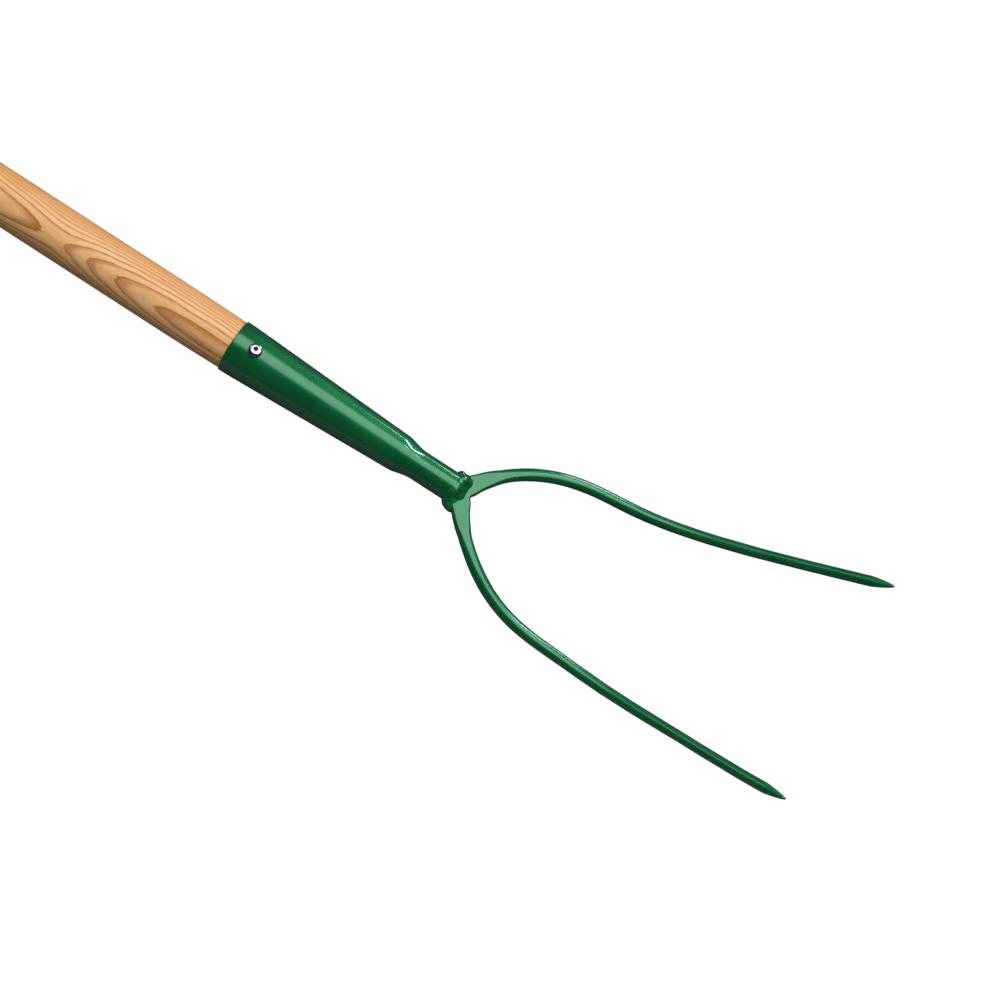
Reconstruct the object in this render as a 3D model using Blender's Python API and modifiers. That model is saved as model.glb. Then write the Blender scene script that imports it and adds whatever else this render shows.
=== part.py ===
"""Two-tine long-handled fork: ash shaft, tapered steel socket, forged V of round tines, welds and a screw.

Every size is in metres. The tool lies with its axis along X, tines towards +X, their tips curving up to +Z.
Lengths along the tool are measured from the neck, where the socket meets the root of the tines.
"""
import math

import bmesh
import bpy
from mathutils import Vector

# Driving dimensions.
HANDLE_LENGTH = 1.350
HANDLE_RADIUS = 0.0184
HANDLE_MOUTH_NARROWING = 0.060
BUTT_ROUND = 0.010
BUTT_FLAT_RADIUS = 0.0075
SEAT_DEPTH = 0.126

SOCKET_MOUTH_X = -0.1777
SOCKET_WALL = 0.0010
MOUTH_RADIUS = 0.0190
TAPER_START_X = -0.168
TAPER_START_RADIUS = 0.0187
SHOULDER_START_X = -0.048
SHOULDER_END_X = -0.030
SHOULDER_START_RADIUS = 0.0135
NECK_RADIUS = 0.01055
NECK_BORE_RADIUS = 0.0080
NECK_END_X = -0.0055

ROOT_ANGLE = math.radians(52)
ROOT_THICKNESS = 0.0060
ROOT_APEX_X = -0.0085
CROTCH_X = 0.0112
CROTCH_RADIUS = 0.0025
ROOT_START = 0.024
ROOT_END = 0.190
POINT_LENGTH = 0.0170

SCREW_X = -0.162
SCREW_LEAN = math.radians(3.5)
SCREW_HEAD_RADIUS = 0.00475
SCREW_HEAD_HEIGHT = 0.0029
SCREW_RIM_HEIGHT = 0.0009
SCREW_SHANK_RADIUS = 0.0017
SCREW_PLAIN_SHANK = 0.004
SCREW_LENGTH = 0.025
THREAD_RADIUS = 0.0024
THREAD_PITCH = 0.0022
THREAD_RIDGE_SHARE = 0.3
THREAD_CONE_LENGTH = 0.005
RECESS_DEPTH = 0.0021
RECESS_RADIUS = 0.0014
RECESS_SPAN = 0.0052
RECESS_SLOT = 0.0010
RECESS_FLOOR_SHARE = 0.55
RECESS_TURN = math.radians(12)

GAP = 0.0003
MERGE = 0.00005

TURNED_STEPS = 40
SHOULDER_STEPS = 6
SECTION_POINTS = 16
FAN_STEPS = 3
ROOT_STEPS = 11
SHANK_STEPS = 21
POINT_STEPS = 7
CLEARANCE_RINGS = 14
PATH_SAMPLES = 600
SCREW_STEPS = 16
ROWS_PER_TURN = 6

# Half of the fork's centreline as control points of a cubic B-spline: along, sideways, up.
TINE_PATH = (
    (0.0035, 0.0010, 0.0012),
    (0.0105, 0.0140, 0.0018),
    (0.0310, 0.0370, 0.0020),
    (0.0715, 0.0570, -0.0055),
    (0.1170, 0.0590, -0.0045),
    (0.1600, 0.0650, 0.0085),
    (0.1990, 0.0700, 0.0305),
    (0.2370, 0.0760, 0.0535),
    (0.2620, 0.0795, 0.0700),
    (0.2747, 0.0811, 0.0804),
)
# Share of the way from the root to the point, against width and thickness across the section.
TINE_WIDTH = (
    (0.000, 0.0170), (0.045, 0.0124), (0.070, 0.0113), (0.095, 0.0096),
    (0.120, 0.00925), (0.255, 0.0090), (0.760, 0.0075), (0.940, 0.0074),
)
TINE_THICKNESS = (
    (0.000, ROOT_THICKNESS), (0.070, 0.0066), (0.120, 0.0080), (0.190, 0.0091), (0.255, 0.0090),
    (0.760, 0.0075), (0.940, 0.0074),
)
# Corner radius as a share of the thinner half of the section: low is flat-faced, one is round.
TINE_ROUNDNESS = ((0.000, 0.45), (0.040, 0.47), (0.070, 0.52), (0.108, 0.70), (0.145, 0.92), (0.165, 1.00))

# Weld lumps as ellipsoids: centre, then half-sizes, in the tool's own axes.
FRONT_WELD_LUMPS = (
    ((-0.0010, 0.0000, 0.0050), (0.0085, 0.0075, 0.0062)),
    ((0.0010, 0.0052, 0.0052), (0.0078, 0.0055, 0.0055)),
    ((-0.0012, 0.0096, 0.0038), (0.0040, 0.0022, 0.0044)),
    ((0.0000, -0.0058, 0.0046), (0.0070, 0.0056, 0.0052)),
    ((0.0002, -0.0112, 0.0015), (0.0070, 0.0036, 0.0050)),
)
BACK_WELD_LUMPS = (
    ((-0.0010, 0.0010, -0.0050), (0.0082, 0.0072, 0.0058)),
    ((0.0004, 0.0060, -0.0046), (0.0072, 0.0052, 0.0050)),
    ((0.0000, -0.0056, -0.0048), (0.0074, 0.0056, 0.0050)),
    ((0.0002, -0.0106, -0.0010), (0.0064, 0.0034, 0.0046)),
)
WELD_REACH = 0.05

# The tool is centred along X and rests on the plane Z = 0.
BUTT_X = SOCKET_MOUTH_X + SEAT_DEPTH - HANDLE_LENGTH
TIP_X = TINE_PATH[-1][0]
CENTRE_X = -(BUTT_X + TIP_X) / 2
AXIS_HEIGHT = MOUTH_RADIUS


def clear_scene():
    """Remove whatever the file holds."""
    for leftover in list(bpy.data.objects):
        bpy.data.objects.remove(leftover, do_unlink=True)


def new_collection(name):
    """Add a collection to the scene."""
    collection = bpy.data.collections.new(name)
    bpy.context.scene.collection.children.link(collection)
    return collection


def new_material(name, colour, roughness, metallic=0.0, coat=0.0):
    """Principled material."""
    material = bpy.data.materials.new(name)
    material.use_nodes = True
    shader = material.node_tree.nodes["Principled BSDF"]
    shader.inputs["Base Color"].default_value = (*colour, 1.0)
    shader.inputs["Roughness"].default_value = roughness
    shader.inputs["Metallic"].default_value = metallic
    shader.inputs["Coat Weight"].default_value = coat
    return material


def ash_wood():
    return new_material("ash_wood", (0.62, 0.40, 0.21), 0.45)


def green_enamel():
    return new_material("green_enamel", (0.01, 0.16, 0.05), 0.25, coat=0.5)


def bright_steel():
    return new_material("bright_steel", (0.75, 0.75, 0.74), 0.22, metallic=1.0)


def add_object(name, mesh, collection, parent, material=None):
    """Link a mesh, or an empty where there is none, as a named object under its parent."""
    piece = bpy.data.objects.new(name, mesh)
    piece.parent = parent
    collection.objects.link(piece)
    if material:
        mesh.materials.append(material)
    return piece


def mesh_from(name, points, faces=(), edges=()):
    """Mesh with smooth faces."""
    mesh = bpy.data.meshes.new(name)
    mesh.from_pydata(points, edges, faces)
    mesh.shade_smooth()
    return mesh


def interpolate(stations, where):
    """Value at a place on a line through (place, value) stations."""
    for (start, low), (end, high) in zip(stations, stations[1:]):
        if where <= end:
            share = max(0.0, (where - start) / (end - start))
            return low + (high - low) * share
    return stations[-1][1]


def ease(share):
    """Smooth step from 0 to 1."""
    return (1 - math.cos(math.pi * share)) / 2


def spread(start, end, steps):
    """Evenly spaced values from start up to, but not at, the end."""
    return [start + (end - start) * i / steps for i in range(steps)]


# Turned pieces. Their local Z is the tool's axis, and a profile lists (radius, place along the axis).

def turned(name, profile, collection, parent, material, closed):
    """Turn a profile, listed from the tine end back along its outer side, about the tool's axis."""
    points = [(radius, 0.0, along) for radius, along in profile]
    edges = [(i, i + 1) for i in range(len(points) - 1)]
    if closed:
        edges.append((len(points) - 1, 0))
    piece = add_object(name, mesh_from(name, points, edges=edges), collection, parent, material)
    piece.rotation_euler = (0.0, math.pi / 2, 0.0)
    screw = piece.modifiers.new("turn", "SCREW")
    screw.steps = TURNED_STEPS
    screw.render_steps = TURNED_STEPS
    screw.use_merge_vertices = True
    screw.merge_threshold = MERGE
    screw.use_smooth_shade = True
    return piece


def socket_radius(along):
    """Outer radius of the socket: a flare at the mouth, a straight taper, the shoulder, then the neck."""
    if along >= SHOULDER_END_X:
        return NECK_RADIUS
    if along >= SHOULDER_START_X:
        share = (along - SHOULDER_START_X) / (SHOULDER_END_X - SHOULDER_START_X)
        return SHOULDER_START_RADIUS + (NECK_RADIUS - SHOULDER_START_RADIUS) * ease(share)
    taper = ((SOCKET_MOUTH_X, MOUTH_RADIUS), (TAPER_START_X, TAPER_START_RADIUS),
             (SHOULDER_START_X, SHOULDER_START_RADIUS))
    return interpolate(taper, along)


def socket_inner_radius(along):
    """Bore of the socket, which narrows to the neck's bore beyond the shoulder."""
    if along >= SHOULDER_START_X:
        start = SHOULDER_START_RADIUS - SOCKET_WALL
        share = min(1.0, (along - SHOULDER_START_X) / (SHOULDER_END_X - SHOULDER_START_X))
        return start + (NECK_BORE_RADIUS - start) * ease(share)
    return socket_radius(along) - SOCKET_WALL


def socket_stations():
    """Places along the socket where its outline bends, from the neck's end back to the mouth."""
    shoulder = spread(SHOULDER_END_X, SHOULDER_START_X, SHOULDER_STEPS)
    return [NECK_END_X, *shoulder, SHOULDER_START_X, TAPER_START_X, SOCKET_MOUTH_X]


def make_socket(collection, parent, material, screw_hole):
    """Thin tapered tube with a rounded lip, cut by the screw's clearance hole."""
    lip = SOCKET_WALL / 2
    outside = [(socket_radius(x), x) for x in socket_stations()]
    mouth = outside[-1][0] - lip
    turn = [math.radians(angle) for angle in (45, 90, 135)]
    outside += [(mouth + lip * math.cos(a), SOCKET_MOUTH_X - lip * math.sin(a)) for a in turn]
    inside = [(socket_inner_radius(x), x) for x in reversed(socket_stations())]
    socket = turned("socket", outside + inside, collection, parent, material, closed=True)
    cut(socket, screw_hole)
    return socket


def make_handle(collection, parent, material, pilot_hole):
    """Long round shaft: tapered seat in the socket, narrow at the mouth, rounded butt with a flat centre."""
    seat_end = SOCKET_MOUTH_X + SEAT_DEPTH
    profile = [(0.0, seat_end)]
    profile += [(socket_inner_radius(x) - GAP, x) for x in (seat_end, TAPER_START_X, SOCKET_MOUTH_X)]
    mouth_radius = profile[-1][0]
    for share in (0.2, 0.4, 0.7, 1.0):
        radius = HANDLE_RADIUS - (HANDLE_RADIUS - mouth_radius) * (1 - share) ** 2
        profile.append((radius, SOCKET_MOUTH_X - HANDLE_MOUTH_NARROWING * share))
    round_width = HANDLE_RADIUS - BUTT_FLAT_RADIUS
    for angle in (0, 22.5, 45, 67.5, 90):
        radius = BUTT_FLAT_RADIUS + round_width * math.cos(math.radians(angle))
        profile.append((radius, BUTT_X + BUTT_ROUND * (1 - math.sin(math.radians(angle)))))
    profile.append((0.0, BUTT_X))
    handle = turned("handle", profile, collection, parent, material, closed=False)
    cut(handle, pilot_hole)
    return handle


# The forged fork.

def path_point(share):
    """Point of the clamped cubic B-spline on TINE_PATH, for a share from 0 to 1."""
    controls = [Vector(point) for point in TINE_PATH]
    spans = len(controls) - 3
    knots = [0.0] * 3 + [float(i) for i in range(spans + 1)] + [float(spans)] * 3
    where = min(share * spans, spans - 1e-9)
    first = int(where)
    points = controls[first:first + 4]
    for level in range(1, 4):
        for j in range(3, level - 1, -1):
            low = knots[first + j]
            high = knots[first + j + 4 - level]
            points[j] = points[j - 1].lerp(points[j], (where - low) / (high - low))
    return points[3]


def arc_table():
    """Pairs of (share of the path's length, share of its parameter), and the length itself."""
    fine = [path_point(i / PATH_SAMPLES) for i in range(PATH_SAMPLES + 1)]
    lengths = [0.0]
    for a, b in zip(fine, fine[1:]):
        lengths.append(lengths[-1] + (b - a).length)
    return [(length / lengths[-1], i / PATH_SAMPLES) for i, length in enumerate(lengths)], lengths[-1]


def station(table, share):
    """Point of the centreline at a share of its length, and its direction there."""
    step = 1 / PATH_SAMPLES
    ahead = path_point(interpolate(table, min(1.0, share + step)))
    behind = path_point(interpolate(table, max(0.0, share - step)))
    return path_point(interpolate(table, share)), (ahead - behind).normalized()


def section(centre, sideways, upward, half_width, half_thickness, roundness, point_share):
    """Ring of points: a rectangle with rounded corners that turns towards a square on edge near the point."""
    corner = roundness * min(half_width, half_thickness)
    ring = []
    for i in range(SECTION_POINTS):
        angle = 2 * math.pi * (i + 0.5) / SECTION_POINTS
        across = math.cos(angle)
        up = math.sin(angle)
        reach_across = math.copysign(half_width - corner, across) + corner * across
        reach_up = math.copysign(half_thickness - corner, up) + corner * up
        on_edge = 1 / (abs(across) + abs(up))
        reach_across += (half_width * across * on_edge - reach_across) * point_share
        reach_up += (half_thickness * up * on_edge - reach_up) * point_share
        ring.append(centre + sideways * reach_across + upward * reach_up)
    return ring


def root_rings(grow, fan_end):
    """Rings of the V root that fan out from the symmetry plane to the first square-on section."""
    rings = []
    last_inner, last_outer = fan_end
    for share in spread(0.0, 1.0, FAN_STEPS):
        angle = (math.pi / 2 - ROOT_ANGLE) * share
        inner_x = CROTCH_X + CROTCH_RADIUS * (1 - math.cos(angle))
        inner = Vector((inner_x, CROTCH_RADIUS * math.sin(angle), 0.0))
        outer = Vector((ROOT_APEX_X, 0.0, 0.0)).lerp(last_outer, share)
        inner.z = last_inner.z
        outer.z = last_inner.z
        sideways = (outer - inner).normalized()
        upward = Vector((0.0, 0.0, 1.0))
        half_width = (outer - inner).length / 2 + grow
        rings.append(section((inner + outer) / 2, sideways, upward, half_width,
                             ROOT_THICKNESS / 2 + grow, TINE_ROUNDNESS[0][1], 0.0))
    return rings


def point_shape(towards_end):
    """Size of the section along the blunt point, and how far it has turned to a square on edge."""
    size = (1.0 - 0.74 * towards_end ** 1.3) * math.sqrt(1.0 - towards_end ** 10)
    return size, 0.75 * ease(min(1.0, towards_end * 1.6))


def tine_rings(grow=0.0):
    """Rings of one half of the fork, from the symmetry plane to the point."""
    table, length = arc_table()
    point_start = 1.0 - POINT_LENGTH / length
    shares = spread(ROOT_START, ROOT_END, ROOT_STEPS)
    shares += spread(ROOT_END, point_start, SHANK_STEPS)
    shares += spread(point_start, 1.0, POINT_STEPS)
    rings = []
    fan_end = None
    for share in shares:
        centre, forward = station(table, share)
        sideways = Vector((0.0, 0.0, 1.0)).cross(forward).normalized()
        size, point_share = point_shape(max(0.0, (share - point_start) / (1.0 - point_start)))
        half_width = interpolate(TINE_WIDTH, share) / 2 * size + grow
        half_thickness = interpolate(TINE_THICKNESS, share) / 2 * size + grow
        if fan_end is None:
            fan_end = (centre - sideways * (half_width - grow), centre + sideways * (half_width - grow))
        rings.append(section(centre, sideways, forward.cross(sideways), half_width, half_thickness,
                             interpolate(TINE_ROUNDNESS, share), point_share))
    return root_rings(grow, fan_end) + rings


def fork_mesh(name, rings, tip):
    """Skin half the fork over its rings and close it at the tip; it stays open at the symmetry plane."""
    points = [point for ring in rings for point in ring]
    faces = []
    for ring in range(len(rings) - 1):
        for i in range(SECTION_POINTS):
            here = ring * SECTION_POINTS
            after = (i + 1) % SECTION_POINTS
            faces.append((here + i, here + after, here + SECTION_POINTS + after, here + SECTION_POINTS + i))
    last = (len(rings) - 1) * SECTION_POINTS
    points.append(tip)
    for i in range(SECTION_POINTS):
        faces.append((last + i, last + (i + 1) % SECTION_POINTS, len(points) - 1))
    return mesh_from(name, points, faces=faces)


def mirrored(piece):
    """Mirror a half across the tool's vertical plane of symmetry."""
    mirror = piece.modifiers.new("mirror", "MIRROR")
    mirror.use_axis = (False, True, False)
    mirror.merge_threshold = MERGE
    return piece


def make_tine_fork(collection, parent, material):
    """One forging: flattened V root and two curved round tines."""
    mesh = fork_mesh("tine_fork", tine_rings(), Vector(TINE_PATH[-1]))
    return mirrored(add_object("tine_fork", mesh, collection, parent, material))


# Cutters, lumps and Booleans.

def cut(piece, cutter, operation="DIFFERENCE"):
    """Add an exact Boolean modifier."""
    boolean = piece.modifiers.new(operation.lower(), "BOOLEAN")
    boolean.operation = operation
    boolean.solver = "EXACT"
    boolean.object = cutter


def hidden(piece):
    """Mark a cutter so that it isn't part of the tool."""
    piece.hide_render = True
    piece.display_type = "WIRE"
    return piece


def cylinder_mesh(name, radius_low, radius_high, low, high, steps):
    """Closed cylinder or cone along local Z between two heights."""
    mesh = bpy.data.meshes.new(name)
    shape = bmesh.new()
    bmesh.ops.create_cone(shape, cap_ends=True, segments=steps, radius1=radius_low, radius2=radius_high,
                          depth=high - low)
    bmesh.ops.translate(shape, verts=shape.verts, vec=(0.0, 0.0, (high + low) / 2))
    shape.to_mesh(mesh)
    shape.free()
    return mesh


def screw_hole(name, radius, low, high, cutters, screw_axis):
    """Cutter along the screw's axis."""
    return hidden(add_object(name, cylinder_mesh(name, radius, radius, low, high, 16), cutters, screw_axis))


def ellipsoid(name, centre, half_sizes, collection, parent):
    """Ball stretched to three half-sizes."""
    mesh = bpy.data.meshes.new(name)
    shape = bmesh.new()
    bmesh.ops.create_uvsphere(shape, u_segments=14, v_segments=8, radius=1.0)
    bmesh.ops.scale(shape, verts=shape.verts, vec=half_sizes)
    shape.to_mesh(mesh)
    shape.free()
    mesh.shade_smooth()
    lump = add_object(name, mesh, collection, parent)
    lump.location = centre
    return lump


def far_side(name, side, cutters, parent):
    """Block that fills everything beyond the middle plane, on the other side from the weld."""
    mesh = bpy.data.meshes.new(name)
    shape = bmesh.new()
    bmesh.ops.create_cube(shape, size=WELD_REACH)
    shape.to_mesh(mesh)
    shape.free()
    block = hidden(add_object(name, mesh, cutters, parent))
    block.location.z = side * (GAP - WELD_REACH) / 2
    return block


def make_weld(name, side, lumps, collection, cutters, parent, material, keep_clear):
    """Run of weld lumps, fused together and shaped to the neck and the root that they sit on."""
    weld = ellipsoid(name, *lumps[0], collection, parent)
    weld.data.materials.append(material)
    for number, lump in enumerate(lumps[1:], start=1):
        cut(weld, hidden(ellipsoid(f"{name}_lump_{number}", *lump, cutters, parent)), "UNION")
    for cutter in (*keep_clear, far_side(f"{name}_far_side", side, cutters, parent)):
        cut(weld, cutter)
    return weld


def weld_clearances(cutters, parent):
    """Neck and root, each grown by the assembly gap, as cutters for the welds."""
    neck_mesh = cylinder_mesh("neck_clearance", NECK_RADIUS + GAP, NECK_RADIUS + GAP,
                              SHOULDER_END_X, NECK_END_X + GAP, TURNED_STEPS)
    neck = hidden(add_object("neck_clearance", neck_mesh, cutters, parent))
    neck.rotation_euler = (0.0, math.pi / 2, 0.0)
    rings = tine_rings(grow=GAP)[:CLEARANCE_RINGS]
    root_mesh = fork_mesh("root_clearance", rings, sum(rings[-1], Vector()) / SECTION_POINTS)
    root = mirrored(hidden(add_object("root_clearance", root_mesh, cutters, parent)))
    return neck, root


# The screw. Its local Z points out of the socket, with zero on the tool's axis.

def thread_radius(along, angle, start, end):
    """Radius of the screw's body: a V thread on a plain core that fades out under the head and at the tip."""
    phase = ((along / THREAD_PITCH) - angle / (2 * math.pi)) % 1.0
    ridge = max(0.0, 1.0 - abs(phase - 0.5) / THREAD_RIDGE_SHARE)
    fade = min(1.0, (end - along) / THREAD_PITCH, (along - start) / THREAD_PITCH)
    core = SCREW_SHANK_RADIUS * min(1.0, 0.25 + (along - start) / THREAD_CONE_LENGTH)
    return core + (THREAD_RADIUS - SCREW_SHANK_RADIUS) * ridge * max(0.0, fade)


def screw_mesh(under_head):
    """Screw as rings from the tip up the threaded body and over the domed head."""
    tip = under_head - SCREW_LENGTH
    thread_end = under_head - SCREW_PLAIN_SHANK
    rows = int((thread_end - tip) * ROWS_PER_TURN / THREAD_PITCH)
    angles = spread(0.0, 2 * math.pi, SCREW_STEPS)
    rings = [[(thread_radius(z, angle, tip, thread_end), z) for angle in angles]
             for z in spread(tip + GAP, thread_end, rows)]
    outline = [(SCREW_SHANK_RADIUS, thread_end), (SCREW_SHANK_RADIUS, under_head),
               (SCREW_HEAD_RADIUS - GAP, under_head), (SCREW_HEAD_RADIUS, under_head + GAP)]
    for dome in (math.radians(angle) for angle in (0, 25, 50, 72)):
        dome_height = (SCREW_HEAD_HEIGHT - SCREW_RIM_HEIGHT) * math.sin(dome)
        outline.append((SCREW_HEAD_RADIUS * math.cos(dome), under_head + SCREW_RIM_HEIGHT + dome_height))
    rings += [[place] * SCREW_STEPS for place in outline]
    points = [(radius * math.cos(angle), radius * math.sin(angle), z)
              for ring in rings for angle, (radius, z) in zip(angles, ring)]
    faces = []
    for low in range(0, len(points) - SCREW_STEPS, SCREW_STEPS):
        for i in range(SCREW_STEPS):
            after = (i + 1) % SCREW_STEPS
            faces.append((low + i, low + after, low + SCREW_STEPS + after, low + SCREW_STEPS + i))
    faces += close_ends(points, SCREW_STEPS, tip, under_head + SCREW_HEAD_HEIGHT)
    return mesh_from("handle_screw", points, faces=faces)


def close_ends(points, steps, low_z, high_z):
    """Fans that close the first and last rings at two centre points, which are added to the list."""
    last = len(points) - steps
    points.append((0.0, 0.0, low_z))
    points.append((0.0, 0.0, high_z))
    bottom = len(points) - 2
    top = len(points) - 1
    faces = []
    for i in range(steps):
        after = (i + 1) % steps
        faces.append((after, i, bottom))
        faces.append((last + i, last + after, top))
    return faces


def recess_wing(name, turn, head_top, cutters, screw_axis):
    """One bar of the cross recess, narrower at its floor."""
    mesh = bpy.data.meshes.new(name)
    shape = bmesh.new()
    bmesh.ops.create_cube(shape, size=1.0)
    for corner in shape.verts:
        share = 1.0 if corner.co.z > 0 else RECESS_FLOOR_SHARE
        corner.co.x *= RECESS_SPAN * share
        corner.co.y *= RECESS_SLOT * share
        corner.co.z = corner.co.z * RECESS_DEPTH * 2 + head_top
    shape.to_mesh(mesh)
    shape.free()
    wing = hidden(add_object(name, mesh, cutters, screw_axis))
    wing.rotation_euler = (0.0, 0.0, turn)
    return wing


def make_handle_screw(collection, cutters, screw_axis, material, under_head):
    """Pan-head wood screw with a cross recess."""
    screw = add_object("handle_screw", screw_mesh(under_head), collection, screw_axis, material)
    head_top = under_head + SCREW_HEAD_HEIGHT
    pit_mesh = cylinder_mesh("recess_pit", RECESS_RADIUS * 0.45, RECESS_RADIUS * 1.2, head_top - RECESS_DEPTH,
                             head_top + RECESS_DEPTH / 2, 12)
    cut(screw, hidden(add_object("recess_pit", pit_mesh, cutters, screw_axis)))
    for name, turn in (("recess_wing_a", RECESS_TURN), ("recess_wing_b", RECESS_TURN + math.pi / 2)):
        cut(screw, recess_wing(name, turn, head_top, cutters, screw_axis))
    return screw


def main():
    """Build the fork."""
    clear_scene()
    tool = new_collection("two_tine_fork")
    cutters = new_collection("cutters")
    axis = add_object("tool_axis", None, tool, None)
    axis.location = (CENTRE_X, 0.0, AXIS_HEIGHT)
    screw_axis = add_object("screw_axis", None, tool, axis)
    screw_axis.location = (SCREW_X, 0.0, 0.0)
    screw_axis.rotation_euler = (SCREW_LEAN, 0.0, 0.0)
    wood = ash_wood()
    enamel = green_enamel()
    steel = bright_steel()

    under_head = socket_radius(SCREW_X) + GAP
    hole_radius = THREAD_RADIUS + GAP
    hole_top = MOUTH_RADIUS * 1.5
    hole_end = under_head - SCREW_LENGTH - GAP
    pilot = screw_hole("pilot_hole", hole_radius, hole_end, hole_top, cutters, screw_axis)
    clearance = screw_hole("clearance_hole", hole_radius, 0.0, hole_top, cutters, screw_axis)

    make_handle(tool, axis, wood, pilot)
    make_socket(tool, axis, enamel, clearance)
    make_tine_fork(tool, axis, enamel)
    make_handle_screw(tool, cutters, screw_axis, steel, under_head)
    keep_clear = weld_clearances(cutters, axis)
    make_weld("neck_weld_front", 1, FRONT_WELD_LUMPS, tool, cutters, axis, enamel, keep_clear)
    make_weld("neck_weld_back", -1, BACK_WELD_LUMPS, tool, cutters, axis, enamel, keep_clear)


main()
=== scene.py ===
"""Looks of the two-tine long-handled fork: fine meshes, procedural materials, lights and camera.

Every size is in metres. A piece is built in the tool's own axes, whose origin is on the tool's axis at the
neck: X runs towards the tines, Y across them and Z up. The places of a piece's ends are read from the frame.
"""

import math

import bmesh
import bpy
import numpy as np
from mathutils import Euler, Matrix, Vector, noise


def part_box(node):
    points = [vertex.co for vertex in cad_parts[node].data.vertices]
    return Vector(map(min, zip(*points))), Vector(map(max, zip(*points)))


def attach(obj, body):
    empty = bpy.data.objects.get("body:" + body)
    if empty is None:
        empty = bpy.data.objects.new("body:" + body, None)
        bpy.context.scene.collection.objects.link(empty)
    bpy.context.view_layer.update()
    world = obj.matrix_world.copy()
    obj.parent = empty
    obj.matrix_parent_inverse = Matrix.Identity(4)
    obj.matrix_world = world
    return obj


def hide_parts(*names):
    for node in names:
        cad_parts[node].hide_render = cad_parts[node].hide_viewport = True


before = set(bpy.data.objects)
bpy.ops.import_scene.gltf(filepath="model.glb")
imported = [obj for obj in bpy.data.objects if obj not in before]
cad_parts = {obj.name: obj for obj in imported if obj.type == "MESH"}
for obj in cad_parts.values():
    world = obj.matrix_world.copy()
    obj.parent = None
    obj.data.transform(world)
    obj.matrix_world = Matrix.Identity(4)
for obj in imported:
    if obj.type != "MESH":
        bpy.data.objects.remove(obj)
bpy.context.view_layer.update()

# Places read from the frame.
HANDLE_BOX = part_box("handle")
SOCKET_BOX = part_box("socket")
FORK_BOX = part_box("tine_fork")
SCREW_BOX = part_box("handle_screw")
NECK_END_X = -0.0055
AXIS_HEIGHT = (HANDLE_BOX[0].z + HANDLE_BOX[1].z) / 2
ORIGIN = Vector((SOCKET_BOX[1].x - NECK_END_X, 0.0, AXIS_HEIGHT))
BUTT_X = HANDLE_BOX[0].x - ORIGIN.x
SEAT_END_X = HANDLE_BOX[1].x - ORIGIN.x
MOUTH_X = SOCKET_BOX[0].x - ORIGIN.x
TIP_X = FORK_BOX[1].x - ORIGIN.x
HANDLE_RADIUS = HANDLE_BOX[1].z - AXIS_HEIGHT
MOUTH_RADIUS = SOCKET_BOX[1].z - AXIS_HEIGHT
SCREW_X = (SCREW_BOX[0].x + SCREW_BOX[1].x) / 2 - ORIGIN.x

# Shaft.
MOUTH_NARROWING = 0.060
HANDLE_AT_MOUTH = 0.01788
BUTT_ROUND = 0.010
BUTT_FLAT_RADIUS = 0.0075
TURNED_STEPS = 144
TURNED_SHARP_ANGLE = 50
PAST_HOLE = 0.006

# Socket.
SOCKET_WALL = 0.0009
TAPER_START_X = -0.168
TAPER_START_RADIUS = 0.0187
SHOULDER_START_X = -0.048
SHOULDER_END_X = -0.030
SHOULDER_START_RADIUS = 0.0135
NECK_RADIUS = 0.01055
NECK_BORE_RADIUS = 0.0080
NECK_UNDER_WELD = 0.0026
SOCKET_PAST_HOLE = 0.008
LIP_CURL = 0.0003
LIP_LENGTH = 0.0018

# Forged fork, on the same centreline as the CAD solid.
TIP_INSET = 0.00018
TIP_CAP = 0.00005
TINE_PATH = (
    (0.0035, 0.0010, 0.0012),
    (0.0105, 0.0140, 0.0018),
    (0.0310, 0.0370, 0.0020),
    (0.0715, 0.0570, -0.0055),
    (0.1170, 0.0590, -0.0045),
    (0.1600, 0.0650, 0.0085),
    (0.1990, 0.0700, 0.0305),
    (0.2370, 0.0760, 0.0535),
    (0.2620, 0.0795, 0.0700),
    (TIP_X - TIP_INSET, 0.0811 - TIP_INSET, 0.0804 - TIP_INSET),
)
TINE_WIDTH = (
    (0.000, 0.0170), (0.045, 0.0124), (0.070, 0.0113), (0.095, 0.0096),
    (0.120, 0.00925), (0.255, 0.0090), (0.760, 0.0075), (0.940, 0.0074), (1.000, 0.0074),
)
ROOT_THICKNESS = 0.0060
TINE_THICKNESS = (
    (0.000, ROOT_THICKNESS), (0.070, 0.0066), (0.120, 0.0080), (0.190, 0.0091), (0.255, 0.0090),
    (0.760, 0.0075), (0.940, 0.0074), (1.000, 0.0074),
)
CORNER_SHARE = (
    (0.000, 0.52), (0.040, 0.56), (0.070, 0.72), (0.100, 0.92), (0.125, 0.97), (1.000, 0.97),
)
FIT_INSIDE = 0.980
ROOT_ANGLE = math.radians(52)
ROOT_APEX_X = -0.0085
CROTCH_X = 0.0112
CROTCH_RADIUS = 0.0025
ROOT_START = 0.024
POINT_LENGTH = 0.0170
FLAT_POINTS = 3
CORNER_POINTS = 10
HAMMER_DEPTH = 0.00012
HAMMER_SCALE = 70.0
NOISE_SEED = 7
HAMMER_FADE_RINGS = 60
ROOT_RINGS_END = 0.19

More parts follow.
